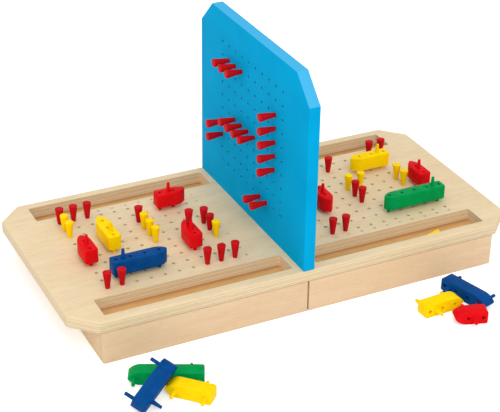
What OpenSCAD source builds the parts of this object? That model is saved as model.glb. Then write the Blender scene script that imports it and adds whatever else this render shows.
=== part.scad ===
// Two-player fleet guessing game: a pegboard on two storage drawers, an upright
// divider panel, plastic ships and tapered pegs. Millimetres, +Z up.
// The origin is on the table, under the middle of the board.

/* [Board] */
// Length of the board, from player to player
board_len = 600; // [580:5:640]
// Width of the board
board_w = 300; // [296:2:320]
// Thickness of the board
board_t = 15; // [12:0.5:18]
// Size of the cut corners of the board
corner_cut = 30; // [15:1:40]
// Rounding of the upper edge of the board
edge_round = 3; // [1:0.5:4]
// Rounding of the lower edge of the board
edge_round_low = 1.5; // [0.5:0.5:3]

/* [Peg grid] */
// Distance between neighbouring holes
pitch = 18.5; // [17:0.25:19]
// Holes in each row and column
grid_n = 10; // [8:1:10]
// Radius of a peg hole
hole_r = 2.25; // [2:0.05:2.5]
// Depth of a peg hole in the board
hole_depth = 6; // [6:0.5:8]
// From the end of the board to the outer column of holes
grid_margin = 65.5; // [60:0.5:75]

/* [Troughs] */
// From the long edge of the board to a trough
trough_rim = 14; // [13.5:0.5:18]
// Width of a trough
trough_w = 35; // [28:1:36]
// From the end of the board to a trough
trough_end = 41; // [40:1:60]
// From the middle of the board to a trough
trough_mid = 16; // [14:1:24]
// Corner radius of the cut through the board
trough_corner = 2; // [1:0.5:4]

/* [Case] */
// Height from the table to the underside of the board
case_h = 43; // [38:1:50]
// How far the ends of the board stand out over the drawers
end_overhang = 33; // [30:1:36]
// How far the drawer sides stand in from the long edges
side_inset = 1; // [0.5:0.5:2]
// Gap between the two drawers at the middle
seam_gap = 2; // [1:0.5:4]
// Gap between a drawer and the board
drawer_gap = 0.5; // [0.3:0.1:1]
// Thickness of the drawer sides
side_t = 8; // [7:0.5:9]
// Thickness of the drawer end walls
end_t = 6; // [5:0.5:6.5]
// Thickness of the drawer inner walls
inner_t = 8; // [6:1:12]
// Thickness of the drawer bottoms
bottom_t = 4; // [3:0.5:5]
// Height of the drawer bottom above the table
bottom_lift = 4; // [3:0.5:6]
// Depth of the grooves that hold the drawer bottom
bottom_groove = 3; // [2:0.5:4]
// Rounding of the upright outer corners of the drawers
case_round = 3; // [1:0.5:5]

/* [Runners and centre block] */
// Thickness of a trough floor, which is also a drawer runner
runner_t = 12; // [10:0.5:14]
// How far a runner reaches past the inner edge of its trough
runner_lap = 4; // [3:0.5:6]
// How far the tongue of a runner stands out
tongue_w = 3; // [2:0.5:4]
// Height of the tongue
tongue_h = 6; // [4:0.5:7]
// Clearance round the tongue in its groove
run_gap = 0.3; // [0.2:0.05:0.4]
// Length of the centre block along the board
block_len = 40; // [36:1:50]
// Gap between the centre block and the drawer sides
block_gap = 2; // [1:0.5:5]
// Radius of the screws through the centre block
screw_r = 2; // [1.5:0.25:2.5]
// Radius of the screw heads
screw_head_r = 4; // [3.5:0.25:5]
// How far the screw heads are sunk above the table
screw_sink = 3; // [2:0.5:6]
// How far the screws bite into the board
screw_bite = 9; // [6:0.5:10]
// Distance of the screws from the middle, along the block
screw_spread = 70; // [40:5:90]

/* [Divider] */
// Height of the divider above the board
divider_h = 250; // [240:5:280]
// How far the sides of the divider stand in from the long edges of the board
divider_inset = 1.5; // [1:0.5:10]
// Thickness of the divider
divider_t = 15; // [13:0.5:16]
// Size of the cut upper corners
divider_cut = 33; // [15:1:45]
// Rounding of the long upright edges and the top edge
divider_round = 1; // [0.5:0.25:2]
// Height of the lowest row of holes above the board
divider_row = 43.5; // [40:0.5:50]
// Radius of the dowels under the divider
dowel_r = 3; // [2.5:0.25:4]
// Length of the dowels inside the divider
dowel_up = 18; // [12:1:25]
// Length of the dowels below the divider
dowel_down = 20; // [18:1:24]
// Distance of the outer dowels from the middle
dowel_spread = 110; // [90:5:120]
// Clearance round a dowel in the board
dowel_fit = 0.08; // [0.05:0.01:0.1]

/* [Pegs] */
// Height of a peg above its hole
peg_h = 22; // [19:0.5:26]
// Radius of the peg head
peg_head_r = 5.5; // [4:0.1:6]
// Radius of the peg at its shoulder
peg_foot_r = 2.8; // [2.6:0.05:3]
// Length of the peg's pin
pin_len = 5.5; // [4:0.25:5.75]
// Clearance of a pin in its hole
pin_fit = 0.08; // [0.05:0.01:0.1]
// Rounding of the peg head
peg_round = 0.6; // [0.4:0.1:1.2]
// From the outer end of the trough to the head of the loose peg
loose_end = 59; // [40:1:90]
// Gap between the front of the trough and the head of the loose peg
loose_gap = 5.5; // [4:0.5:12]

/* [Ships] */
// Width of a hull
hull_w = 17; // [15:0.5:18]
// Height of a hull
hull_h = 18.5; // [16:0.5:22]
// Height of the hull above the board
hull_lift = 6; // [4:0.5:8]
// From the stern to the first deck hole
stern_len = 6; // [5:0.5:7]
// From the last deck hole to the bow of a ship with two holes
bow_len = 16; // [14:0.5:17]
// How much shorter that is for every further hole
bow_less = 3; // [2:0.25:3.5]
// Length over which the bow narrows in plan
bow_taper = 15; // [12:0.5:18]
// Radius of the nose in plan
nose_r = 2.5; // [2:0.25:4]
// Radius of the stern in plan
stern_round = 2.6; // [1:0.2:3]
// Chamfer along the deck and the keel
deck_chamfer = 0.8; // [0.4:0.1:1.5]
// Depth of a deck hole
deck_hole = 6; // [5.75:0.25:8]
// Height of the mast
mast_h = 12.5; // [10:0.5:18]
// From the first deck hole to the mast of a ship with two holes
mast_two = 12; // [9:0.5:14]
// Radius of the mast at the deck
mast_r = 2.8; // [1.6:0.1:3]
// Radius of the mast at its tip
mast_tip_r = 1.7; // [1:0.1:2]
// From the long edge of the board to the ships that lie on the table
spare_gap = 60; // [55:1:80]

/* [Hidden] */
$fn = 48;
eps = 0.01;

birch = "#E6CFAA";
birch_side = "#DDBF93";
divider_blue = "#1B9FD6";
ship_red = "#D81E24";
ship_yellow = "#F7D500";
ship_blue = "#0B4DA2";
ship_green = "#0A9A45";
steel = "#B8B8B4";

// Board and case
board_top = case_h + board_t;
board_x = board_len / 2;
board_y = board_w / 2;
case_x = board_x - end_overhang;
case_y = board_y - side_inset;
wall_h = case_h - drawer_gap;
side_in = case_y - side_t;
end_in = case_x - end_t;
block_x = block_len / 2;
inner_x = block_x + inner_t;
round_steps = 4;

// Peg grid: the outer column of holes and the row nearest the back
grid_half = (grid_n - 1) / 2 * pitch;
grid_x = board_x - grid_margin - grid_half;
pin_r = hole_r - pin_fit;
divider_w = board_w - 2 * divider_inset;
divider_grid_z = board_top + divider_row;

// Troughs and the runners that close them from below
trough_out = board_y - trough_rim;
trough_in = trough_out - trough_w;
trough_x1 = board_x - trough_end;
runner_out = side_in - run_gap;
runner_in = trough_in - runner_lap;
runner_end = end_in - run_gap;
runner_z = case_h - runner_t;
tongue_z = runner_z + (runner_t - tongue_h) / 2;
inner_h = runner_z - 1;

// Hulls: local origin at the first deck hole, on the board, bow towards +X
hull_z = hull_lift + hull_h / 2;
ship_pin = hull_lift + hole_depth;
// The sides of the bow are arcs that run on into the round nose
bow_side_r = (pow(bow_taper - nose_r, 2) + pow(hull_w / 2, 2) - pow(nose_r, 2))
    / (hull_w - 2 * nose_r);
nose_join = nose_r * (1 - (bow_taper - nose_r) / (bow_side_r - nose_r));
function hull_len(holes) = stern_len + (holes - 1) * pitch + bow_len - (holes - 2) * bow_less;
function mast_x(holes) = holes > 2 ? pitch / 2 : mast_two;

// Ships that lie on the table, in front of the board
spare_y = -board_y - spare_gap;
table_gap = 0.1;
// The ship that leans on another one: how far up its hull it is carried, how far it
// is rolled on its side, and the height of its middle over the stern corner it rests on
lean_reach = 72.5;
lean_tilt = asin(hull_w / lean_reach);
lean_roll = 112.5;
lean_side = sin(lean_roll) * cos(lean_tilt);
function lean_z(holes) = (hull_len(holes) / 2 - stern_round) * sin(lean_tilt)
    + (hull_w / 2 - stern_round) * lean_side + stern_round * norm([sin(lean_tilt), lean_side])
    - (hull_h / 2 - deck_chamfer) * cos(lean_roll) * cos(lean_tilt) + table_gap;

// One hole, peg or ship place of a player's grid: the column counts along X and
// the row counts from the back to the front
function cell_x(side, col) = side * grid_x + (col - (grid_n - 1) / 2) * pitch;
function cell_y(row) = grid_half - row * pitch;

// Flat shapes

module rounded_rect(len_x, len_y, r) {
    // Rectangle about the origin with round corners
    square([len_x - 2 * r, len_y], center = true);
    square([len_x, len_y - 2 * r], center = true);
    for (sx = [-1, 1], sy = [-1, 1])
        translate([sx * (len_x / 2 - r), sy * (len_y / 2 - r)]) circle(r);
}

module board_outline(inset) {
    // Rectangle with cut corners, drawn in from the edge all round
    x = board_x - inset;
    y = board_y - inset;
    cut = corner_cut - inset * (2 - sqrt(2));
    polygon([[x - cut, -y], [x, -y + cut], [x, y - cut], [x - cut, y],
        [-x + cut, y], [-x, y - cut], [-x, -y + cut], [-x + cut, -y]]);
}

module divider_outline(inset) {
    // Panel seen along X: width by height, with cut upper corners
    w = divider_w / 2 - inset;
    h = divider_h - inset;
    cut = divider_cut - inset * (2 - sqrt(2));
    polygon([[-w, 0], [w, 0], [w, h - cut], [w - cut, h], [-w + cut, h], [-w, h - cut]]);
}

// Board

module board_blank() {
    // Plywood sheet with rounded upper and lower edges
    hull() {
        for (i = [0:round_steps]) {
            a = 90 * i / round_steps;
            translate([0, 0, board_top - edge_round * (1 - sin(a)) - eps])
                linear_extrude(eps) board_outline(edge_round * (1 - cos(a)));
        }
        for (i = [0:round_steps / 2]) {
            a = 90 * i / (round_steps / 2);
            translate([0, 0, case_h + edge_round_low * (1 - sin(a))])
                linear_extrude(eps) board_outline(edge_round_low * (1 - cos(a)));
        }
    }
}

module at_troughs() {
    // Places its children at the middle of each of the four troughs
    for (sx = [-1, 1], sy = [-1, 1])
        translate([sx * (trough_x1 + trough_mid) / 2, sy * (trough_in + trough_w / 2), 0])
            children();
}

module grid_holes(side) {
    for (col = [0:grid_n - 1], row = [0:grid_n - 1])
        translate([cell_x(side, col), cell_y(row), board_top - hole_depth])
            cylinder(r = hole_r, h = hole_depth + 1);
}

module at_dowels() {
    for (y = [-dowel_spread, 0, dowel_spread]) translate([0, y, 0]) children();
}

module at_screws() {
    for (y = [-screw_spread, screw_spread]) translate([0, y, 0]) children();
}

module top_board() {
    color(birch) difference() {
        board_blank();
        at_troughs() translate([0, 0, case_h - 1]) linear_extrude(board_t + 2)
            rounded_rect(trough_x1 - trough_mid, trough_w, trough_corner);
        grid_holes(-1);
        grid_holes(1);
        at_dowels() translate([0, 0, case_h - 1]) cylinder(r = dowel_r + dowel_fit, h = board_t + 2);
        at_screws() translate([0, 0, case_h - 1]) cylinder(r = screw_r + eps, h = screw_bite + 1 + eps);
    }
}

module centre_block() {
    // Fixed cross piece that carries the board while the drawers are out
    width = 2 * (side_in - block_gap);
    color(birch_side) difference() {
        translate([-block_x, -width / 2, 0]) cube([block_len, width, case_h]);
        at_dowels() translate([0, 0, board_top - dowel_down - 1])
            cylinder(r = dowel_r + dowel_fit, h = dowel_down);
        at_screws() {
            translate([0, 0, -1]) cylinder(r = screw_r + eps, h = case_h + 2);
            translate([0, 0, -1]) cylinder(r = screw_head_r + 0.2, h = screw_sink + 1);
            translate([0, 0, screw_sink])
                cylinder(r1 = screw_head_r + eps, r2 = screw_r + eps, h = screw_head_r - screw_r);
        }
    }
}

module block_screws() {
    color(steel) at_screws() rotate_extrude()
        polygon([[0, screw_sink], [screw_head_r, screw_sink],
            [screw_r, screw_sink + screw_head_r - screw_r],
            [screw_r, case_h + screw_bite - 2 * screw_r], [0, case_h + screw_bite]]);
}

module trough_floor(sx, sy) {
    // Strip under one trough: its floor above, a tongue for the drawer side
    length = runner_end - block_x - run_gap;
    width = runner_out - runner_in;
    color(birch_side) scale([sx, sy, 1]) translate([block_x + run_gap, runner_in, 0])
        rotate([90, 0, 90]) linear_extrude(length) polygon([[0, runner_z], [width, runner_z],
            [width, tongue_z], [width + tongue_w, tongue_z], [width + tongue_w, tongue_z + tongue_h],
            [width, tongue_z + tongue_h], [width, case_h], [0, case_h]]);
}

// Drawers: sx is the side of the board, sy the side of the drawer

module drawer_side(sx, sy) {
    length = case_x - seam_gap / 2;
    color(birch_side) scale([sx, sy, 1]) difference() {
        linear_extrude(wall_h) {
            translate([seam_gap / 2, side_in]) square([length - case_round, side_t]);
            translate([seam_gap / 2, side_in]) square([length, side_t - case_round]);
            translate([case_x - case_round, case_y - case_round]) circle(case_round);
        }
        translate([seam_gap / 2 - 1, side_in - 1, tongue_z - run_gap])
            cube([end_in - seam_gap / 2 + 1, tongue_w + run_gap + 1, tongue_h + 2 * run_gap]);
        translate([block_x, side_in - 1, bottom_lift])
            cube([end_in + bottom_groove - block_x, bottom_groove + 1, bottom_t]);
    }
}

module drawer_end(sx) {
    color(birch_side) scale([sx, 1, 1]) difference() {
        translate([end_in, -side_in, 0]) cube([end_t, 2 * side_in, wall_h]);
        translate([end_in - 1, -side_in - 1, bottom_lift])
            cube([bottom_groove + 1, 2 * side_in + 2, bottom_t]);
    }
}

module drawer_inner(sx) {
    // Low wall that passes under the runners
    color(birch_side) scale([sx, 1, 1]) difference() {
        translate([block_x, -side_in, 0]) cube([inner_t, 2 * side_in, inner_h]);
        translate([inner_x - bottom_groove, -side_in - 1, bottom_lift])
            cube([bottom_groove + 1, 2 * side_in + 2, bottom_t]);
    }
}

module drawer_bottom(sx) {
    y = side_in + bottom_groove;
    color(birch_side) scale([sx, 1, 1])
        translate([inner_x - bottom_groove, -y, bottom_lift])
            cube([end_in + 2 * bottom_groove - inner_x, 2 * y, bottom_t]);
}

// Divider

module divider_panel() {
    color(divider_blue) difference() {
        translate([0, 0, board_top]) rotate([90, 0, 90]) hull() {
            translate([0, 0, -divider_t / 2]) linear_extrude(divider_t)
                divider_outline(divider_round);
            translate([0, 0, -divider_t / 2 + divider_round])
                linear_extrude(divider_t - 2 * divider_round) divider_outline(0);
        }
        for (col = [0:grid_n - 1], row = [0:grid_n - 1])
            translate([-divider_t, cell_y(row), divider_grid_z + col * pitch])
                rotate([0, 90, 0]) cylinder(r = hole_r, h = 2 * divider_t);
        at_dowels() translate([0, 0, board_top - 1]) cylinder(r = dowel_r + eps, h = dowel_up + 1);
    }
}

module divider_dowels() {
    color(birch) at_dowels() translate([0, 0, board_top - dowel_down])
        cylinder(r = dowel_r, h = dowel_down + dowel_up);
}

// Pegs

module peg() {
    // Tapered peg: the shoulder is at the origin, the pin points down
    rotate_extrude() polygon([[0, -pin_len], [pin_r - 0.4, -pin_len], [pin_r, -pin_len + 0.6],
        [pin_r, 0], [peg_foot_r, 0], [peg_head_r, peg_h - peg_round],
        [peg_head_r - 0.3 * peg_round, peg_h - 0.3 * peg_round],
        [peg_head_r - peg_round, peg_h], [0, peg_h]]);
}

module board_pegs(side, cells) {
    for (c = cells) translate([cell_x(side, c[0]), cell_y(c[1]), board_top]) peg();
}

module divider_pegs(cells) {
    // Column from the back, row from the top, pegs stand out towards -X
    for (c = cells)
        translate([-divider_t / 2, cell_y(c[0]), divider_grid_z + (grid_n - 1 - c[1]) * pitch])
            rotate([0, -90, 0]) peg();
}

// Ships

module hull_plan(length) {
    translate([0, -hull_w / 2 + stern_round]) square([stern_round * 2, hull_w - 2 * stern_round]);
    translate([stern_round, -hull_w / 2]) square([length - stern_round - bow_taper, hull_w]);
    for (s = [-1, 1])
        translate([stern_round, s * (hull_w / 2 - stern_round)]) circle(stern_round);
    intersection() {
        translate([length - bow_taper - eps, -hull_w / 2])
            square([bow_taper - nose_join + eps, hull_w]);
        translate([length - bow_taper, -bow_side_r + hull_w / 2]) circle(bow_side_r, $fn = 128);
        translate([length - bow_taper, bow_side_r - hull_w / 2]) circle(bow_side_r, $fn = 128);
    }
    translate([length - nose_r, 0]) circle(nose_r);
}

module hull_profile(length) {
    // Side view with a chamfer along the ends of the deck and the keel
    c = deck_chamfer;
    polygon([[0, c], [c, 0], [length - c, 0], [length, c], [length, hull_h - c],
        [length - c, hull_h], [c, hull_h], [0, hull_h - c]]);
}

module hull_section() {
    w = hull_w / 2;
    c = deck_chamfer;
    polygon([[-w + c, 0], [w - c, 0], [w, c], [w, hull_h - c], [w - c, hull_h],
        [-w + c, hull_h], [-w, hull_h - c], [-w, c]]);
}

module ship(holes) {
    // Moulded hull with deck holes, a mast and two pins; z = 0 is the board
    length = hull_len(holes);
    difference() {
        translate([-stern_len, 0, hull_lift]) intersection() {
            linear_extrude(hull_h) hull_plan(length);
            translate([0, hull_w, 0]) rotate([90, 0, 0]) linear_extrude(2 * hull_w) hull_profile(length);
            translate([-1, 0, 0]) rotate([90, 0, 90]) linear_extrude(length + 2) hull_section();
        }
        for (i = [0:holes - 1])
            translate([i * pitch, 0, hull_lift + hull_h - deck_hole]) cylinder(r = hole_r, h = deck_hole + 1);
    }
    translate([mast_x(holes), 0, hull_lift + hull_h - 0.5])
        cylinder(r1 = mast_r, r2 = mast_tip_r, h = mast_h + 0.5);
    for (i = [0, holes - 1])
        translate([i * pitch, 0, -hole_depth]) cylinder(r = pin_r, h = ship_pin + 1);
}

module board_ship(side, holes, col, row, heading) {
    translate([cell_x(side, col), cell_y(row), board_top]) rotate([0, 0, heading]) ship(holes);
}

module lying_ship(holes, along, across, heading, roll = 90) {
    // Ship on its side on the table, the middle of its hull placed in steps of the pitch
    translate([along * pitch, spare_y + across * pitch, hull_w / 2]) rotate([0, 0, heading]) rotate([roll, 0, 0])
        translate([stern_len - hull_len(holes) / 2, 0, -hull_z]) ship(holes);
}

module leaning_ship(holes, along, across, heading) {
    // Ship whose stern corner is on the table and whose bow lies on another ship
    translate([along * pitch, spare_y + across * pitch, lean_z(holes)]) rotate([0, 0, heading]) rotate([0, -lean_tilt, 0])
        rotate([lean_roll, 0, 0]) translate([stern_len - hull_len(holes) / 2, 0, -hull_z]) ship(holes);
}

// Named pieces

module left_red_ship_1() { color(ship_red) board_ship(-1, 2, 7, 1, 0); }
module left_red_ship_2() { color(ship_red) board_ship(-1, 2, 0, 6, 90); }
module left_red_ship_3() { color(ship_red) board_ship(-1, 2, 7, 7, 90); }
module left_yellow_ship() { color(ship_yellow) board_ship(-1, 3, 2, 5, 90); }
module left_blue_ship() { color(ship_blue) board_ship(-1, 4, 1, 8, 0); }
module right_yellow_ship() { color(ship_yellow) board_ship(1, 3, 8, 2, 180); }
module right_red_ship_1() { color(ship_red) board_ship(1, 2, 9, 6, 90); }
module right_red_ship_2() { color(ship_red) board_ship(1, 2, 1, 5, -90); }
module right_green_ship() { color(ship_green) board_ship(1, 5, 9, 8, 180); }

module spare_green_ship() { color(ship_green) lying_ship(5, -11.54, 0.09, 154.5); }
module spare_left_blue_ship() { color(ship_blue) leaning_ship(4, -12.86, -1.27, 35); }
module spare_left_yellow_ship() { color(ship_yellow) lying_ship(3, -10.83, -1.97, 134); }
module spare_right_blue_ship() { color(ship_blue) lying_ship(4, 10.43, 0.13, -74.5); }
module spare_right_yellow_ship() { color(ship_yellow) lying_ship(3, 8.07, -0.27, 3); }
module spare_red_ship() { color(ship_red) lying_ship(2, 9.12, -2.18, 162, -90); }

module loose_yellow_peg() {
    // Lies on its slanting side in the front right trough, its head towards the player
    tilt = atan((peg_head_r - peg_foot_r) / peg_h);
    color(ship_yellow)
        translate([trough_x1 - loose_end, -trough_out + loose_gap + peg_head_r,
            case_h + peg_head_r + table_gap])
            rotate([0, 90 - tilt, 0]) translate([0, 0, -peg_h]) peg();
}

top_board();
centre_block();
block_screws();
trough_floor(-1, 1);  // floor_left_back
trough_floor(-1, -1);  // floor_left_front
trough_floor(1, 1);  // floor_right_back
trough_floor(1, -1);  // floor_right_front
drawer_end(-1);  // left_drawer_end
drawer_inner(-1);  // left_drawer_inner
drawer_side(-1, -1);  // left_drawer_side_front
drawer_side(-1, 1);  // left_drawer_side_back
drawer_bottom(-1);  // left_drawer_bottom
drawer_end(1);  // right_drawer_end
drawer_inner(1);  // right_drawer_inner
drawer_side(1, -1);  // right_drawer_side_front
drawer_side(1, 1);  // right_drawer_side_back
drawer_bottom(1);  // right_drawer_bottom
divider_panel();
divider_dowels();
left_red_ship_1();
left_red_ship_2();
left_red_ship_3();
left_yellow_ship();
left_blue_ship();
right_yellow_ship();
right_red_ship_1();
right_red_ship_2();
right_green_ship();
spare_green_ship();
spare_left_blue_ship();
spare_left_yellow_ship();
spare_right_blue_ship();
spare_right_yellow_ship();
spare_red_ship();
color(ship_red) board_pegs(-1, [[0, 0], [1, 0], [2, 0]]);  // left_red_pegs_back
color(ship_red) board_pegs(-1, [[5, 2]]);  // left_red_peg_middle
color(ship_red) board_pegs(-1, [[9, 4], [9, 5]]);  // left_red_pegs_inner
color(ship_red) board_pegs(-1, [[7, 9], [8, 9], [9, 9]]);  // left_red_pegs_front_inner
color(ship_red) board_pegs(-1, [[0, 9], [1, 9]]);  // left_red_pegs_front_outer
color(ship_red) translate([0, 0, hull_lift + hull_h]) board_pegs(-1, [[7, 6]]);  // left_red_hit_peg
color(ship_yellow) board_pegs(-1, [[0, 1], [0, 2]]);  // left_yellow_pegs_outer
color(ship_yellow) board_pegs(-1, [[5, 3], [5, 4], [5, 5]]);  // left_yellow_pegs_middle
color(ship_yellow) board_pegs(-1, [[9, 6]]);  // left_yellow_peg_inner
color(ship_red) board_pegs(1, [[4, 1]]);  // right_red_peg_inner
color(ship_red) board_pegs(1, [[4, 5], [4, 6]]);  // right_red_pegs_middle
color(ship_red) board_pegs(1, [[0, 9], [1, 9]]);  // right_red_pegs_front
color(ship_red) board_pegs(1, [[8, 0], [9, 0]]);  // right_red_pegs_back
color(ship_yellow) board_pegs(1, [[4, 4], [5, 4]]);  // right_yellow_pegs_middle
color(ship_yellow) board_pegs(1, [[8, 4], [8, 5]]);  // right_yellow_pegs_outer
color(ship_red) divider_pegs([[1, 1], [2, 1], [3, 1]]);  // divider_pegs_top
color(ship_red) divider_pegs([[0, 6], [0, 7]]);  // divider_pegs_back
color(ship_red) divider_pegs([[2, 5], [3, 5], [4, 5], [5, 5]]);  // divider_pegs_middle
color(ship_red) divider_pegs([[8, 2], [8, 3], [8, 4], [8, 5], [8, 6]]);  // divider_pegs_front
color(ship_red) divider_pegs([[6, 9], [7, 9]]);  // divider_pegs_low
loose_yellow_peg();
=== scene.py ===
import bmesh
import bpy
import math
from mathutils import Matrix, Vector


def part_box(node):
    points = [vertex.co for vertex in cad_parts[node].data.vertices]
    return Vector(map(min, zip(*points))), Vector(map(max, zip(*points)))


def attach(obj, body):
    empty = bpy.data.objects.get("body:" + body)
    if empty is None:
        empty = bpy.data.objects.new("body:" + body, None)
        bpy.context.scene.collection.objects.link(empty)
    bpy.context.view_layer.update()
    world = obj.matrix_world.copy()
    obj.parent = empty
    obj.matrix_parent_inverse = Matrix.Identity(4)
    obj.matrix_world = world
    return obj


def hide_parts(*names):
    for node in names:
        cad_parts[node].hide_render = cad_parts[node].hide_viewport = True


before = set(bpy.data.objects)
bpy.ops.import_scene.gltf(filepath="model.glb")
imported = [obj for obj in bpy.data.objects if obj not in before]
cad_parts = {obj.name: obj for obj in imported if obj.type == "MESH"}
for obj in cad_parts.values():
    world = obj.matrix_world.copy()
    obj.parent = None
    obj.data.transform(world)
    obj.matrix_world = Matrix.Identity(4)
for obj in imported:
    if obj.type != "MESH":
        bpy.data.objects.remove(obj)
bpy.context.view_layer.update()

bpy.ops.object.select_all(action="DESELECT")
print("frame loaded:", len(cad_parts), "nodes")


# small helpers

def mm(*values):
    return Vector([v / 1000 for v in values])


def colour(hexText):
    parts = [int(hexText[i:i + 2], 16) / 255 for i in (1, 3, 5)]
    return [p / 12.92 if p <= 0.04045 else ((p + 0.055) / 1.055) ** 2.4 for p in parts] + [1.0]


def only(piece):
    # makes one object the only selected and active one
    bpy.ops.object.select_all(action="DESELECT")
    piece.select_set(True)
    bpy.context.view_layer.objects.active = piece
    return piece


def joined(pieces, name):
    bpy.ops.object.select_all(action="DESELECT")
    for piece in pieces:
        piece.select_set(True)
    bpy.context.view_layer.objects.active = pieces[0]
    if len(pieces) > 1:
        bpy.ops.object.join()
    pieces[0].name = name
    pieces[0].data.name = name
    return pieces[0]


def settle(piece):
    # leaves the object at the origin with its place in its mesh
    only(piece)
    bpy.ops.object.transform_apply(location=True, rotation=True, scale=True)
    return piece


def applyModifier(piece, kind, **settings):
    only(piece)
    modifier = piece.modifiers.new(kind.lower(), kind)
    for key, value in settings.items():
        setattr(modifier, key, value)
    bpy.ops.object.modifier_apply(modifier=modifier.name)
    return piece


def boxPiece(low, high):
    # a block between two corners given in millimetres
    low, high = Vector(low), Vector(high)
    bpy.ops.mesh.primitive_cube_add(size=1, location=(low + high) / 2000)
    bpy.ops.transform.resize(value=(high - low) / 1000)
    return settle(bpy.context.active_object)


def sliceOff(piece, point, normal):
    # cuts away what lies beyond a plane and closes the cut
    only(piece)
    bpy.ops.object.mode_set(mode="EDIT")
    bpy.ops.mesh.select_all(action="SELECT")
    bpy.ops.mesh.bisect(plane_co=mm(*point), plane_no=normal, use_fill=True, clear_outer=True,
                        threshold=1e-6)
    bpy.ops.object.mode_set(mode="OBJECT")


def bevelEdges(piece, wanted, width, segments):
    # rounds the edges for which wanted(first, second, edge) is true; corners in millimetres
    only(piece)
    bpy.ops.object.mode_set(mode="EDIT")
    bpy.ops.mesh.select_mode(type="EDGE")
    bpy.ops.mesh.select_all(action="DESELECT")
    shape = bmesh.from_edit_mesh(piece.data)
    for edge in shape.edges:
        first, second = (v.co * 1000 for v in edge.verts)
        edge.select_set(bool(wanted(first, second, edge)))
    bmesh.update_edit_mesh(piece.data)
    bpy.ops.mesh.bevel(offset=width / 1000, segments=segments, affect="EDGES")
    bpy.ops.object.mode_set(mode="OBJECT")


def rodPiece(radius, length, base, axis="Z", sides=24):
    # a straight rod from its base along an axis, in millimetres
    turn = {"Z": (0, 0, 0), "X": (0, math.pi / 2, 0)}[axis]
    along = Vector({"Z": (0, 0, 1), "X": (1, 0, 0)}[axis])
    bpy.ops.mesh.primitive_cylinder_add(vertices=sides, radius=radius / 1000, depth=length / 1000,
                                        location=(Vector(base) + along * length / 2) / 1000, rotation=turn)
    return settle(bpy.context.active_object)


def carve(piece, cutter):
    applyModifier(piece, "BOOLEAN", operation="DIFFERENCE", object=cutter, solver="EXACT")
    bpy.data.objects.remove(cutter)
    return piece


def smooth(piece, degrees=32):
    only(piece)
    bpy.ops.object.shade_smooth_by_angle(angle=math.radians(degrees))
    return piece


def placedCopy(pattern, matrix):
    # a copy with its own mesh, its place in the mesh
    copy = bpy.data.objects.new(pattern.name, pattern.data.copy())
    bpy.context.scene.collection.objects.link(copy)
    copy.data.transform(matrix)
    return copy


def dress(piece, material, slotName, body, *replaced):
    piece.data.materials.clear()
    piece.data.materials.append(material)
    if replaced:
        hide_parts(*replaced)
    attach(piece, body)
    return piece


def easedCopy(nodeName, name, width):
    # a merged copy of a wooden part with its sharp edges lightly sanded
    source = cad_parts[nodeName]
    copy = bpy.data.objects.new(name, source.data.copy())
    bpy.context.scene.collection.objects.link(copy)
    only(copy)
    bpy.ops.object.mode_set(mode="EDIT")
    bpy.ops.mesh.select_all(action="SELECT")
    bpy.ops.mesh.remove_doubles(threshold=1e-6)
    bpy.ops.mesh.dissolve_limited(angle_limit=math.radians(1))
    bpy.ops.object.mode_set(mode="OBJECT")
    applyModifier(copy, "BEVEL", width=width / 1000, segments=2, limit_method="ANGLE",
                  angle_limit=math.radians(50))
    return smooth(copy, 40)


# materials

def addNode(tree, kind, settings=None, links=None):
    # one node with its properties, socket values and incoming links
    node = tree.nodes.new(kind)
    for key, value in (settings or {}).items():
        if isinstance(key, str) and hasattr(node, key):
            setattr(node, key, value)
        else:
            node.inputs[key].default_value = value
    for key, source in (links or {}).items():
        tree.links.new(source, node.inputs[key])
    return node


def newMaterial(name, **shader):
    material = bpy.data.materials.new(name)
    material.use_nodes = True
    tree = material.node_tree
    bsdf = tree.nodes["Principled BSDF"]
    for key, value in shader.items():
        bsdf.inputs[key].default_value = value
    return material, tree, bsdf


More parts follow.
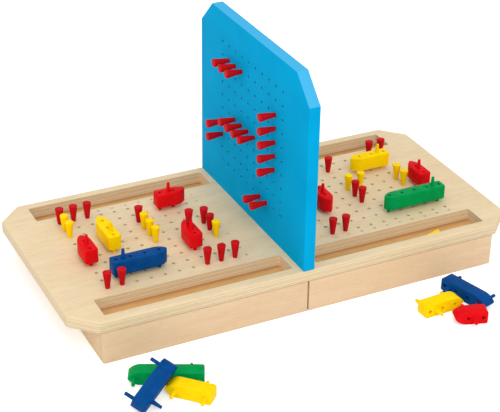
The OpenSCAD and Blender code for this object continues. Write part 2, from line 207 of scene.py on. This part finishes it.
def woodMaterial(name, wood, faceAxis, grainAxis):
    # rotary-cut veneer on the faces, stacked plies on the edges, clear matt varnish over both
    material, tree, bsdf = newMaterial(name, Roughness=wood["roughness"], IOR=1.5)
    place = addNode(tree, "ShaderNodeTexCoord")
    axes = addNode(tree, "ShaderNodeSeparateXYZ", links={0: place.outputs["Object"]})
    facing = addNode(tree, "ShaderNodeSeparateXYZ", links={0: place.outputs["Normal"]})
    # long soft figure: stretched along the grain, about 14 mm wide
    stretch = {"X": (1, 8, 8), "Y": (8, 1, 8), "Z": (8, 8, 1)}[grainAxis]
    long = addNode(tree, "ShaderNodeMapping", {"Scale": [s * 9 for s in stretch]},
                   {"Vector": place.outputs["Object"]})
    figure = addNode(tree, "ShaderNodeTexNoise", {"Scale": 1.0, "Detail": 3.0, "Roughness": 0.55,
                                                  "Distortion": 0.6}, {"Vector": long.outputs[0]})
    # fine pores: about 0.8 mm wide and 15 mm long
    fine = addNode(tree, "ShaderNodeMapping", {"Scale": [s * 130 if s > 1 else 65 for s in stretch]},
                   {"Vector": place.outputs["Object"]})
    pores = addNode(tree, "ShaderNodeTexNoise", {"Scale": 1.0, "Detail": 2.0, "Roughness": 0.6},
                    {"Vector": fine.outputs[0]})
    figureRamp = addNode(tree, "ShaderNodeValToRGB", links={"Fac": figure.outputs["Fac"]})
    figureRamp.color_ramp.elements[0].position = 0.36
    figureRamp.color_ramp.elements[0].color = colour(wood["dark"])
    figureRamp.color_ramp.elements[1].position = 0.62
    figureRamp.color_ramp.elements[1].color = colour(wood["light"])
    poreRamp = addNode(tree, "ShaderNodeValToRGB", links={"Fac": pores.outputs["Fac"]})
    poreRamp.color_ramp.elements[0].position = 0.30
    poreRamp.color_ramp.elements[0].color = colour(wood["pore"])
    poreRamp.color_ramp.elements[1].position = 0.46
    poreRamp.color_ramp.elements[1].color = (1, 1, 1, 1)
    face = addNode(tree, "ShaderNodeMix", {"data_type": "RGBA", "blend_type": "MULTIPLY", 0: 0.55},
                   {6: figureRamp.outputs["Color"], 7: poreRamp.outputs["Color"]})
    surface = face.outputs[2]
    if wood.get("ply"):
        # plies: alternate long and end grain, with a thin dark glue line between them
        layer = addNode(tree, "ShaderNodeMath", {"operation": "MULTIPLY", 1: 1000 / wood["ply"]},
                        {0: axes.outputs[faceAxis]})
        wave = addNode(tree, "ShaderNodeMath", {"operation": "PINGPONG", 1: 1.0}, {0: layer.outputs[0]})
        plyRamp = addNode(tree, "ShaderNodeValToRGB", links={"Fac": wave.outputs[0]})
        ramp = plyRamp.color_ramp
        ramp.elements[0].position = 0.0
        ramp.elements[0].color = colour(wood["edgeLight"])
        ramp.elements[1].position = 1.0
        ramp.elements[1].color = colour(wood["edgeDark"])
        for position, shade in ((0.41, wood["edgeLight"]), (0.50, wood["glue"]), (0.59, wood["edgeDark"])):
            ramp.elements.new(position).color = colour(shade)
        streak = addNode(tree, "ShaderNodeMix", {"data_type": "RGBA", "blend_type": "MULTIPLY", 0: 0.5},
                         {6: plyRamp.outputs["Color"], 7: poreRamp.outputs["Color"]})
        away = addNode(tree, "ShaderNodeMath", {"operation": "ABSOLUTE"}, {0: facing.outputs[faceAxis]})
        isFace = addNode(tree, "ShaderNodeMapRange", {"From Min": 0.80, "From Max": 0.95},
                         {"Value": away.outputs[0]})
        both = addNode(tree, "ShaderNodeMix", {"data_type": "RGBA"},
                       {0: isFace.outputs[0], 6: streak.outputs[2], 7: surface})
        surface = both.outputs[2]
    if wood.get("shade"):
        # a darker band, about 7 mm wide, stands in for the deep shade at the foot of the trough walls
        level = addNode(tree, "ShaderNodeMath", {"operation": "ABSOLUTE"}, {0: axes.outputs["Y"]})
        offset = addNode(tree, "ShaderNodeMath", {"operation": "SUBTRACT", 1: 0.1185}, {0: level.outputs[0]})
        spread = addNode(tree, "ShaderNodeMath", {"operation": "ABSOLUTE"}, {0: offset.outputs[0]})
        edge = addNode(tree, "ShaderNodeMapRange", {"From Min": 0.0105, "From Max": 0.0175, "To Max": 0.8},
                       {"Value": spread.outputs[0]})
        shaded = addNode(tree, "ShaderNodeMix", {"data_type": "RGBA", 7: colour(wood["shade"])},
                          {0: edge.outputs[0], 6: surface})
        surface = shaded.outputs[2]
    tree.links.new(surface, bsdf.inputs["Base Color"])
    # the varnish leaves the pores only just open
    bump = addNode(tree, "ShaderNodeBump", {"Strength": 0.25, "Distance": 0.0001},
                   {"Height": pores.outputs["Fac"]})
    tree.links.new(bump.outputs[0], bsdf.inputs["Normal"])
    return material


def plasticMaterial(name, plastic):
    # moulded ABS with its gloss turned well down: even colour with a faint flow cloud, fine satin skin
    material, tree, bsdf = newMaterial(name, Roughness=plastic["roughness"], IOR=1.53)
    bsdf.inputs["Specular IOR Level"].default_value = 0.03
    bsdf.inputs["Subsurface Weight"].default_value = 0.3
    bsdf.inputs["Subsurface Scale"].default_value = 0.003
    place = addNode(tree, "ShaderNodeTexCoord")
    cloud = addNode(tree, "ShaderNodeTexNoise", {"Scale": 90.0, "Detail": 2.0},
                    {"Vector": place.outputs["Object"]})
    shades = addNode(tree, "ShaderNodeValToRGB", links={"Fac": cloud.outputs["Fac"]})
    shades.color_ramp.elements[0].position = 0.3
    shades.color_ramp.elements[0].color = colour(plastic["deep"])
    shades.color_ramp.elements[1].position = 0.7
    shades.color_ramp.elements[1].color = colour(plastic["light"])
    tree.links.new(shades.outputs["Color"], bsdf.inputs["Base Color"])
    # spark-eroded skin, grain about 0.4 mm
    skin = addNode(tree, "ShaderNodeTexNoise", {"Scale": 2500.0, "Detail": 1.0},
                   {"Vector": place.outputs["Object"]})
    bump = addNode(tree, "ShaderNodeBump", {"Strength": 0.15, "Distance": 0.0001},
                   {"Height": skin.outputs["Fac"]})
    tree.links.new(bump.outputs[0], bsdf.inputs["Normal"])
    return material


def lacquerMaterial(name, lacquer):
    # sprayed opaque satin lacquer over board: the brush-free film has a slight orange peel
    material, tree, bsdf = newMaterial(name, Roughness=lacquer["roughness"], IOR=1.5)
    bsdf.inputs["Specular IOR Level"].default_value = 0.008
    place = addNode(tree, "ShaderNodeTexCoord")
    soft = addNode(tree, "ShaderNodeTexNoise", {"Scale": 14.0, "Detail": 3.0},
                   {"Vector": place.outputs["Object"]})
    shades = addNode(tree, "ShaderNodeValToRGB", links={"Fac": soft.outputs["Fac"]})
    shades.color_ramp.elements[0].position = 0.3
    shades.color_ramp.elements[0].color = colour(lacquer["deep"])
    shades.color_ramp.elements[1].position = 0.7
    shades.color_ramp.elements[1].color = colour(lacquer["light"])
    # faces that look up are tinted paler, which stands in for the sheen of light from above
    facing = addNode(tree, "ShaderNodeSeparateXYZ", links={0: place.outputs["Normal"]})
    upward = addNode(tree, "ShaderNodeMapRange", {"From Min": 0.3, "From Max": 0.6},
                     {"Value": facing.outputs["Z"]})
    filmWithSheen = addNode(tree, "ShaderNodeMix", {"data_type": "RGBA", 7: colour(lacquer["sheen"])},
                   {0: upward.outputs[0], 6: shades.outputs["Color"]})
    tree.links.new(filmWithSheen.outputs[2], bsdf.inputs["Base Color"])
    # orange peel about 1.5 mm across
    peel = addNode(tree, "ShaderNodeTexNoise", {"Scale": 650.0, "Detail": 1.0},
                   {"Vector": place.outputs["Object"]})
    bump = addNode(tree, "ShaderNodeBump", {"Strength": 0.12, "Distance": 0.0002},
                   {"Height": peel.outputs["Fac"]})
    tree.links.new(bump.outputs[0], bsdf.inputs["Normal"])
    return material


birch = {"light": "#E4CDA7", "dark": "#DEC79F", "pore": "#EADCC4", "roughness": 0.6, "ply": 3.0,
         "edgeLight": "#E4CEA8", "edgeDark": "#DCC6A0", "glue": "#A5855F"}
sideBirch = {"light": "#E1C39E", "dark": "#DCBC96", "pore": "#EBDAC0", "roughness": 0.6, "ply": 2.7,
             "edgeLight": "#E0C7A0", "edgeDark": "#D8BE98", "glue": "#C0A07A"}
oiledBeech = {"light": "#CFA268", "dark": "#C6965A", "pore": "#DCC29A", "roughness": 0.6,
              "shade": "#A2602C"}
thinPly = {"light": "#DDBE8F", "dark": "#CCA671", "pore": "#B98E5B", "roughness": 0.55}
boardWood = woodMaterial("birchPlywoodVarnished", birch, "Z", "X")
sideWood = woodMaterial("birchPlywoodSides", sideBirch, "Y", "X")
endWood = woodMaterial("birchPlywoodEnds", sideBirch, "X", "Y")
stripWood = woodMaterial("beechOiled", oiledBeech, "Z", "X")
bottomWood = woodMaterial("thinPlywood", thinPly, "Z", "X")
blueLacquer = lacquerMaterial("blueSatinLacquer", {"deep": "#029CCF", "light": "#06A4D9",
                                                   "sheen": "#46AEDD", "roughness": 0.55})
plastics = {
    "red": plasticMaterial("absRed", {"deep": "#D60C14", "light": "#E21218", "roughness": 0.36}),
    "dark_red": plasticMaterial("absDarkRed", {"deep": "#BC1018", "light": "#C8161C", "roughness": 0.36}),
    "yellow": plasticMaterial("absYellow", {"deep": "#FCCE00", "light": "#FFD608", "roughness": 0.36}),
    "blue": plasticMaterial("absBlue", {"deep": "#04427F", "light": "#084A8C", "roughness": 0.36}),
    "green": plasticMaterial("absGreen", {"deep": "#008E46", "light": "#009A50", "roughness": 0.36}),
}
zincSteel, zincTree, zincShader = newMaterial("zincPlatedSteel", Metallic=1.0, Roughness=0.35)
zincPlace = addNode(zincTree, "ShaderNodeTexCoord")
zincNoise = addNode(zincTree, "ShaderNodeTexNoise", {"Scale": 800.0}, {"Vector": zincPlace.outputs["Object"]})
zincRamp = addNode(zincTree, "ShaderNodeValToRGB", links={"Fac": zincNoise.outputs["Fac"]})
zincRamp.color_ramp.elements[0].color = colour("#A9ABAA")
zincRamp.color_ramp.elements[1].color = colour("#D2D3CF")
zincTree.links.new(zincRamp.outputs["Color"], zincShader.inputs["Base Color"])
print("materials made")


# board and troughs

boardLow, boardHigh = (Vector(corner) * 1000 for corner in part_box("top_board"))
board = {"halfLength": boardHigh.x, "halfWidth": boardHigh.y, "low": boardLow.z, "high": boardHigh.z,
         "cut": 30, "edgeRound": 3, "lowRound": 1.5, "pitch": 18.5, "gridCentre": boardHigh.x - 148.75,
         "cornerRound": 2.5, "holeRadius": 2.25, "holeDepth": 6, "troughIn": 101, "troughOut": 136,
         "troughMid": 16, "troughEnd": 259, "troughCorner": 2, "dowelPlaces": (-110, 0, 110),
         "dowelHole": 3.08, "dowelDepth": 18}


def cell(side, column, row):
    # middle of a hole of one player's grid, in millimetres
    return Vector((side * board["gridCentre"] + (column - 4.5) * board["pitch"],
                   (4.5 - row) * board["pitch"], board["high"]))


def makeBoard():
    x, y, low, high = (board[k] for k in ("halfLength", "halfWidth", "low", "high"))
    piece = boxPiece((-x, -y, low), (x, y, high))
    for sx in (-1, 1):
        for sy in (-1, 1):
            sliceOff(piece, (sx * x, sy * (y - board["cut"]), high), (sx, sy, 0))
    bevelEdges(piece, lambda a, b, e: abs(a.x - b.x) + abs(a.y - b.y) < 0.01, board["cornerRound"], 3)
    bevelEdges(piece, lambda a, b, e: a.z > high - 0.01 and b.z > high - 0.01, board["edgeRound"], 5)
    bevelEdges(piece, lambda a, b, e: a.z < low + 0.01 and b.z < low + 0.01, board["lowRound"], 3)
    cutters = []
    for sx in (-1, 1):
        for sy in (-1, 1):
            xs = sorted((sx * board["troughMid"], sx * board["troughEnd"]))
            ys = sorted((sy * board["troughIn"], sy * board["troughOut"]))
            slot = boxPiece((xs[0], ys[0], low - 3), (xs[1], ys[1], high + 3))
            bevelEdges(slot, lambda a, b, e: abs(a.z - b.z) > 5, board["troughCorner"], 4)
            cutters.append(slot)
    for side in (-1, 1):
        for column in range(10):
            for row in range(10):
                place = cell(side, column, row)
                cutters.append(rodPiece(board["holeRadius"], board["holeDepth"] + 2,
                                        (place.x, place.y, high - board["holeDepth"]), sides=16))
    for y in board["dowelPlaces"]:
        cutters.append(rodPiece(board["dowelHole"], board["dowelDepth"] + 2, (0, y, low - 2)))
    carve(piece, joined(cutters, "cutters"))
    piece.name = "playingBoard"
    return dress(smooth(piece), boardWood, "birch_plywood", "board", "top_board")


makeBoard()
print("board made")

# drawers, runners and centre block

drawer = {"sanded": 0.6}

for side in ("left", "right"):
    body = side + "_drawer"
    for part, material in (("side_front", sideWood), ("side_back", sideWood), ("end", endWood),
                           ("inner", endWood)):
        node = f"{side}_drawer_{part}"
        wall = easedCopy(node, f"{side}Drawer{part.title().replace('_', '')}", drawer["sanded"])
        dress(wall, material, "birch_plywood", body, node)
for name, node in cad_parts.items():
    if name.startswith("floor_") or name in ("centre_block", "divider_dowels"):
        node.data.materials.clear()
        node.data.materials.append(stripWood)
    if name.endswith("drawer_bottom"):
        node.data.materials.clear()
        node.data.materials.append(bottomWood)
    if name == "block_screws":
        node.data.materials.clear()
        node.data.materials.append(zincSteel)
print("case made")

# divider

panelLow, panelHigh = (Vector(corner) * 1000 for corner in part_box("divider_panel"))
divider = {"halfThickness": panelHigh.x, "halfWidth": panelHigh.y, "height": panelHigh.z - panelLow.z,
           "cut": 33, "edgeRound": 1.2, "round": 1, "row": 43.5, "dowelHole": 3.01, "dowelDepth": 18}


def makeDivider():
    t, w, base = divider["halfThickness"], divider["halfWidth"], board["high"]
    top = base + divider["height"]
    piece = boxPiece((-t, -w, base), (t, w, top))
    for sy in (-1, 1):
        sliceOff(piece, (0, sy * w, top - divider["cut"]), (0, sy, 1))
    bevelEdges(piece, lambda a, b, e: abs(a.x - b.x) > 5 and a.z > base + 1, divider["edgeRound"], 3)
    bevelEdges(piece, lambda a, b, e: abs(a.x - b.x) < 0.01 and max(a.z, b.z) > base + 1
               and e.calc_face_angle(0) > 0.9, divider["round"], 3)
    cutters = []
    for column in range(10):
        for row in range(10):
            place = cell(1, 0, column)
            cutters.append(rodPiece(board["holeRadius"], 4 * t, (
                -2 * t, place.y, base + divider["row"] + row * board["pitch"]), "X", 20))
    for y in board["dowelPlaces"]:
        cutters.append(rodPiece(divider["dowelHole"], divider["dowelDepth"] + 1, (0, y, base - 1)))
    carve(piece, joined(cutters, "cutters"))
    piece.name = "dividerBoard"
    return dress(smooth(piece), blueLacquer, "blue_stained_board", "divider", "divider_panel")


makeDivider()
print("divider made")

# pegs

peg = {"height": 22, "head": 5.5, "foot": 2.8, "pin": 2.17, "pinLength": 5.5, "round": 0.7,
       "footRound": 0.3, "pinRound": 0.5, "deckHeight": 24.5, "looseEnd": 59, "looseGap": 5.5,
       "looseRest": 0.1}


def makePeg():
    # tapered peg with its shoulder at the origin and its pin pointing down
    bpy.ops.mesh.primitive_cone_add(vertices=40, radius1=peg["foot"] / 1000, radius2=peg["head"] / 1000,
                                    depth=peg["height"] / 1000, location=mm(0, 0, peg["height"] / 2))
    taper = settle(bpy.context.active_object)
    bevelEdges(taper, lambda a, b, e: min(a.z, b.z) > peg["height"] - 0.01, peg["round"], 4)
    bevelEdges(taper, lambda a, b, e: max(a.z, b.z) < 0.01, peg["footRound"], 2)
    pin = rodPiece(peg["pin"], peg["pinLength"] + 0.5, (0, 0, -peg["pinLength"]), sides=32)
    bevelEdges(pin, lambda a, b, e: max(a.z, b.z) < 0.01 - peg["pinLength"], peg["pinRound"], 2)
    return smooth(joined([taper, pin], "pegPattern"), 40)


pegPattern = makePeg()


def pegGroup(name, tint, body, node, places):
    copies = [placedCopy(pegPattern, place) for place in places]
    material = plastics["dark_red" if tint == "red" else tint]
    return dress(smooth(joined(copies, name), 40), material, tint + "_plastic", body, node)


boardPegs = [
    ("left_red_pegs_back", -1, [(0, 0), (1, 0), (2, 0)]),
    ("left_red_peg_middle", -1, [(5, 2)]),
    ("left_red_pegs_inner", -1, [(9, 4), (9, 5)]),
    ("left_red_pegs_front_inner", -1, [(7, 9), (8, 9), (9, 9)]),
    ("left_red_pegs_front_outer", -1, [(0, 9), (1, 9)]),
    ("left_yellow_pegs_outer", -1, [(0, 1), (0, 2)]),
    ("left_yellow_pegs_middle", -1, [(5, 3), (5, 4), (5, 5)]),
    ("left_yellow_peg_inner", -1, [(9, 6)]),
    ("right_red_peg_inner", 1, [(4, 1)]),
    ("right_red_pegs_middle", 1, [(4, 5), (4, 6)]),
    ("right_red_pegs_front", 1, [(0, 9), (1, 9)]),
    ("right_red_pegs_back", 1, [(8, 0), (9, 0)]),
    ("right_yellow_pegs_middle", 1, [(4, 4), (5, 4)]),
    ("right_yellow_pegs_outer", 1, [(8, 4), (8, 5)]),
]
for node, side, cells in boardPegs:
    tint = "red" if "red" in node else "yellow"
    pegGroup(node + "_turned", tint, node, node,
             [Matrix.Translation(cell(side, *c) / 1000) for c in cells])
# the hit peg stands on a deck
pegGroup("left_red_hit_peg_turned", "red", "left_red_hit_peg", "left_red_hit_peg",
         [Matrix.Translation((cell(-1, 7, 6) + Vector((0, 0, peg["deckHeight"]))) / 1000)])

# pegs of the divider: column from the back, row from the top
dividerPegs = {"top": [(1, 1), (2, 1), (3, 1)], "back": [(0, 6), (0, 7)],
               "middle": [(2, 5), (3, 5), (4, 5), (5, 5)],
               "front": [(8, 2), (8, 3), (8, 4), (8, 5), (8, 6)], "low": [(6, 9), (7, 9)]}
for part, cells in dividerPegs.items():
    node = "divider_pegs_" + part
    places = []
    for column, row in cells:
        height = board["high"] + divider["row"] + (9 - row) * board["pitch"]
        spot = mm(-divider["halfThickness"], (4.5 - column) * board["pitch"], height)
        places.append(Matrix.Translation(spot) @ Matrix.Rotation(-math.pi / 2, 4, "Y"))
    pegGroup(node + "_turned", "red", node, node, places)

# the loose peg lies on its slanting side in its trough, its head towards the player
tilt = math.atan((peg["head"] - peg["foot"]) / peg["height"])
headMiddle = mm(board["troughEnd"] - peg["looseEnd"], peg["looseGap"] + peg["head"] - board["troughOut"],
                board["low"] + peg["looseRest"] + peg["head"])
loosePlace = (Matrix.Translation(headMiddle)
              @ Matrix.Rotation(math.pi / 2 - tilt, 4, "Y") @ Matrix.Translation(mm(0, 0, -peg["height"])))
pegGroup("loose_yellow_peg_turned", "yellow", "loose_yellow_peg", "loose_yellow_peg", [loosePlace])
bpy.data.objects.remove(pegPattern)
print("pegs made")

# ships

ship = {"width": 17, "height": 18.5, "lift": 6, "stern": 6, "bow": 16, "bowLess": 3, "taper": 15,
        "nose": 2.5, "sternRound": 2.6, "edge": 0.9, "mast": 12.5, "mastFoot": 2.8,
        "mastTip": 1.7, "mastRound": 0.7, "mastTwo": 12, "pin": 2.17, "pinLength": 6, "pinRound": 0.7,
        "holeDepth": 6, "leanReach": 72.5, "leanRoll": 112.5}


def shipLength(holes):
    return ship["stern"] + (holes - 1) * board["pitch"] + ship["bow"] - (holes - 2) * ship["bowLess"]


def makeShip(holes):
    # moulded hull; the first deck hole is over the origin, the board is z = 0, the bow is at +X
    back, front = -ship["stern"], shipLength(holes) - ship["stern"]
    low, high, w = ship["lift"], ship["lift"] + ship["height"], ship["width"] / 2
    hull = boxPiece((back, -w, low), (front, w, high))
    # the sides of the bow are arcs that run on into the round nose
    reach = ship["taper"] - ship["nose"]
    sideRadius = (reach ** 2 + w ** 2 - ship["nose"] ** 2) / (2 * w - 2 * ship["nose"])
    sweep = math.asin(reach / (sideRadius - ship["nose"]))
    steps = 9
    for i in range(steps):
        turn = sweep * (i + 0.5) / steps
        for s in (-1, 1):
            normal = Vector((math.sin(turn), s * math.cos(turn), 0))
            centre = Vector((front - ship["taper"], s * (w - sideRadius), 0))
            sliceOff(hull, centre + normal * sideRadius, normal)
    for degrees in (8, 22, 34):
        turn = math.radians(degrees)
        for s in (-1, 1):
            normal = Vector((math.cos(turn), s * math.sin(turn), 0))
            sliceOff(hull, Vector((front - ship["nose"], 0, 0)) + normal * ship["nose"], normal)
    bevelEdges(hull, lambda a, b, e: max(a.x, b.x) < back + 0.1 and abs(a.y - b.y) < 0.01,
               ship["sternRound"], 4)
    bevelEdges(hull, lambda a, b, e: abs(a.z - b.z) < 0.01, ship["edge"], 3)
    cutters = [rodPiece(board["holeRadius"], ship["holeDepth"] + 2,
                        (i * board["pitch"], 0, high - ship["holeDepth"])) for i in range(holes)]
    carve(hull, joined(cutters, "cutters"))
    mastPlace = board["pitch"] / 2 if holes > 2 else ship["mastTwo"]
    bpy.ops.mesh.primitive_cone_add(vertices=24, radius1=ship["mastFoot"] / 1000,
                                    radius2=ship["mastTip"] / 1000, depth=(ship["mast"] + 0.5) / 1000,
                                    location=mm(mastPlace, 0, high + (ship["mast"] - 0.5) / 2))
    mast = settle(bpy.context.active_object)
    bevelEdges(mast, lambda a, b, e: min(a.z, b.z) > high + ship["mast"] - 0.01, ship["mastRound"], 3)
    pins = []
    for i in (0, holes - 1):
        pin = rodPiece(ship["pin"], ship["pinLength"] + low + 1, (i * board["pitch"], 0, -ship["pinLength"]))
        bevelEdges(pin, lambda a, b, e: max(a.z, b.z) < 0.1 - ship["pinLength"], ship["pinRound"], 3)
        pins.append(pin)
    return smooth(joined([hull, mast] + pins, f"shipPattern{holes}"), 30)


shipPatterns = {holes: makeShip(holes) for holes in (2, 3, 4, 5)}
print("ship patterns made")


def addShip(node, holes, place):
    tint = next(t for t in ("red", "yellow", "blue", "green") if t in node)
    copy = placedCopy(shipPatterns[holes], place)
    copy.name = node + "_moulded"
    return dress(copy, plastics[tint], tint + "_plastic", node, node)


# ships in the boards: holes, side, stern cell, heading
for node, holes, side, column, row, heading in (
        ("left_red_ship_1", 2, -1, 7, 1, 0), ("left_red_ship_2", 2, -1, 0, 6, 90),
        ("left_red_ship_3", 2, -1, 7, 7, 90), ("left_yellow_ship", 3, -1, 2, 5, 90),
        ("left_blue_ship", 4, -1, 1, 8, 0), ("right_yellow_ship", 3, 1, 8, 2, 180),
        ("right_red_ship_1", 2, 1, 9, 6, 90), ("right_red_ship_2", 2, 1, 1, 5, -90),
        ("right_green_ship", 5, 1, 9, 8, 180)):
    addShip(node, holes, Matrix.Translation(cell(side, column, row) / 1000)
            @ Matrix.Rotation(math.radians(heading), 4, "Z"))


def addLooseShip(node, holes, heading, roll=90, tilt=0):
    # turned as it lies on the table, then set in the middle of its CAD box
    turns = (Matrix.Rotation(math.radians(heading), 4, "Z") @ Matrix.Rotation(math.radians(-tilt), 4, "Y")
             @ Matrix.Rotation(math.radians(roll), 4, "X"))
    piece = addShip(node, holes, turns)
    corners = [v.co for v in piece.data.vertices]
    middle = [(min(c[i] for c in corners) + max(c[i] for c in corners)) / 2 for i in range(3)]
    low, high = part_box(node)
    piece.data.transform(Matrix.Translation((Vector(low) + Vector(high)) / 2 - Vector(middle)))
    return piece


addLooseShip("spare_green_ship", 5, 154.5)
addLooseShip("spare_left_yellow_ship", 3, 134)
addLooseShip("spare_right_blue_ship", 4, -74.5)
addLooseShip("spare_right_yellow_ship", 3, 3)
addLooseShip("spare_red_ship", 2, 162, roll=-90)
addLooseShip("spare_left_blue_ship", 4, 35, roll=ship["leanRoll"],
             tilt=math.degrees(math.asin(ship["width"] / ship["leanReach"])))
for pattern in shipPatterns.values():
    bpy.data.objects.remove(pattern)
print("ships made")

# grid letters and numbers

label = {"size": 5.2, "thickness": 0.05, "colour": "#5A4630", "worn": "#A08A66", "behind": 10,
         "beside": 15, "lift": 0.02}


def printedMaterial():
    # thin pad-printed ink, worn a little so that the veneer shows through
    material, tree, bsdf = newMaterial("padPrintInk", Roughness=0.5)
    place = addNode(tree, "ShaderNodeTexCoord")
    wear = addNode(tree, "ShaderNodeTexNoise", {"Scale": 1500.0, "Detail": 2.0},
                   {"Vector": place.outputs["Object"]})
    ramp = addNode(tree, "ShaderNodeValToRGB", links={"Fac": wear.outputs["Fac"]})
    ramp.color_ramp.elements[0].position = 0.40
    ramp.color_ramp.elements[0].color = colour(label["colour"])
    ramp.color_ramp.elements[1].position = 0.75
    ramp.color_ramp.elements[1].color = colour(label["worn"])
    tree.links.new(ramp.outputs["Color"], bsdf.inputs["Base Color"])
    return material


ink = printedMaterial()
for side, name in ((-1, "gridLabelsLeft"), (1, "gridLabelsRight")):
    marks = []
    for i in range(10):
        column = cell(side, i, 0 if side < 0 else 9)
        row = cell(side, 9 if side < 0 else 0, i)
        letter = "ABCDEFGHIJ"[i if side < 0 else 9 - i]
        number = str(i + 1 if side < 0 else 10 - i)
        for text, spot in ((letter, column + Vector((0, -side * label["behind"], 0))),
                           (number, row + Vector((-side * label["beside"], 0, 0)))):
            height = board["high"] + label["thickness"] + label["lift"]
            bpy.ops.object.text_add(location=mm(spot.x, spot.y, height),
                                    rotation=(0, 0, side * math.pi / 2))
            words = bpy.context.active_object
            words.data.body = text
            words.data.size = label["size"] / 1000
            words.data.align_x = "CENTER"
            words.data.align_y = "CENTER"
            words.data.extrude = label["thickness"] / 1000
            only(words)
            bpy.ops.object.convert(target="MESH")
            marks.append(settle(bpy.context.active_object))
    dress(joined(marks, name), ink, "birch_plywood", "board")
print("labels made")

# table, lights and camera

paper = {"colour": "#F4F4F4", "glow": 0.36}
air = {"ambient": 0.76, "seen": 1.0}

def makeTable():
    bpy.ops.mesh.primitive_plane_add(size=8, location=(0, 0, -0.0001))
    table = bpy.context.active_object
    table.name = "studioTable"
    material, tree, bsdf = newMaterial("whitePaper", Roughness=1.0)
    bsdf.inputs["Base Color"].default_value = colour(paper["colour"])
    output = tree.nodes["Material Output"]
    seen = addNode(tree, "ShaderNodeLightPath")
    glow = addNode(tree, "ShaderNodeEmission", {"Color": (1, 1, 1, 1), "Strength": paper["glow"]})
    lit = addNode(tree, "ShaderNodeAddShader", links={0: bsdf.outputs[0], 1: glow.outputs[0]})
    mix = addNode(tree, "ShaderNodeMixShader", links={0: seen.outputs["Is Camera Ray"], 1: bsdf.outputs[0],
                                                      2: lit.outputs[0]})
    tree.links.new(mix.outputs[0], output.inputs["Surface"])
    table.data.materials.append(material)


def makeWorld():
    world = bpy.data.worlds.new("studio")
    bpy.context.scene.world = world
    world.use_nodes = True
    tree = world.node_tree
    tree.nodes.clear()
    seen = addNode(tree, "ShaderNodeLightPath")
    direct = addNode(tree, "ShaderNodeMath", {"operation": "MAXIMUM"},
                     {0: seen.outputs["Is Camera Ray"], 1: seen.outputs["Is Glossy Ray"]})
    either = addNode(tree, "ShaderNodeMath", {"operation": "MAXIMUM"},
                     {0: direct.outputs[0], 1: seen.outputs["Is Transmission Ray"]})
    ambient = addNode(tree, "ShaderNodeBackground", {"Color": (1, 1, 1, 1), "Strength": air["ambient"]})
    white = addNode(tree, "ShaderNodeBackground", {"Color": (1, 1, 1, 1), "Strength": air["seen"]})
    mix = addNode(tree, "ShaderNodeMixShader",
                  links={0: either.outputs[0], 1: ambient.outputs[0], 2: white.outputs[0]})
    addNode(tree, "ShaderNodeOutputWorld", links={0: mix.outputs[0]})


def areaLight(name, place, size, watts):
    data = bpy.data.lights.new(name, "AREA")
    data.shape = "SQUARE"
    data.size = size
    data.energy = watts
    light = bpy.data.objects.new(name, data)
    bpy.context.scene.collection.objects.link(light)
    light.location = place
    light.rotation_mode = "QUATERNION"
    light.rotation_quaternion = (Vector((0, 0, 0.05)) - Vector(place)).to_track_quat("-Z", "Y")


def makeCamera():
    view = {"azimuth": -26.404, "elevation": 29.341, "roll": 0.847, "distance": 1.921,
            "target": (0.0052, 0.0251, 0.0572), "lens": 106.4}
    a, e = math.radians(view["azimuth"]), math.radians(view["elevation"])
    back = Vector((math.sin(a) * math.cos(e), -math.cos(a) * math.cos(e), math.sin(e)))
    data = bpy.data.cameras.new("frontCamera")
    data.sensor_width = 36
    data.lens = view["lens"]
    data.clip_start = 0.05
    data.clip_end = 50
    camera = bpy.data.objects.new("frontCamera", data)
    bpy.context.scene.collection.objects.link(camera)
    camera.location = Vector(view["target"]) + back * view["distance"]
    look = (-back).to_track_quat("-Z", "Y").to_matrix().to_4x4()
    camera.rotation_euler = (look @ Matrix.Rotation(math.radians(view["roll"]), 4, "Z")).to_euler()
    bpy.context.scene.camera = camera


makeTable()
makeWorld()
for name, place, size, watts in (("keyFront", (-0.8, -4.6, 4.9), 3.5, 165),
                                 ("topSoft", (-0.2, 0.3, 6.0), 4.0, 35),
                                 ("fillLeft", (-5.5, -1.5, 3.5), 3.5, 56)):
    areaLight(name, place, size, watts)
makeCamera()
bpy.context.scene.view_settings.view_transform = "Standard"
print("stage made")
